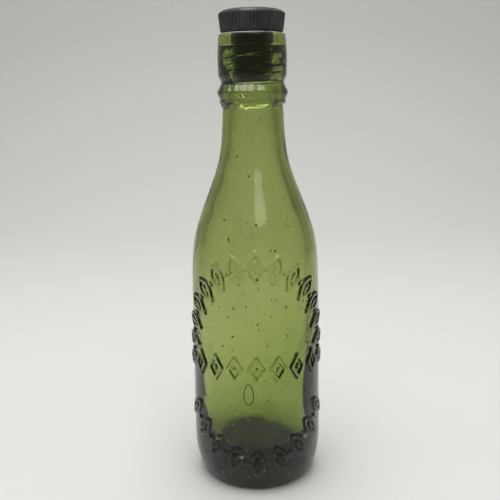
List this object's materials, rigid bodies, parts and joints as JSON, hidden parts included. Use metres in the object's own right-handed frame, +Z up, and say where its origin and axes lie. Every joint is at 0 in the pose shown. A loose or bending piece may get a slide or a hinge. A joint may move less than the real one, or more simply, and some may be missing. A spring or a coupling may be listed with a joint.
{
  "type": "beer bottle",
  "caption": "Empty antique green glass beer bottle with a sloping shoulder, raised ornament, a collared lip threaded inside and a ribbed screw stopper.",
  "frame": {"origin": "centre of the ring that the bottle stands on, at the bottom centre of the whole", "axes": "+Z up along the bottle's axis, -Y towards the side with the raised ornament, +X to the right of someone facing that side"},
  "size_m": [0.0634, 0.0636, 0.2242],
  "materials": {
    "green_glass": "clear olive green glass, glossy, slightly wavy with small bubbles",
    "hard_rubber": "hard vulcanised rubber, purplish black, matte, worn on the ribs"
  },
  "bodies": {
    "root": {"bottle": "green_glass", "stopper": "hard_rubber"}
  },
  "joints": []
}
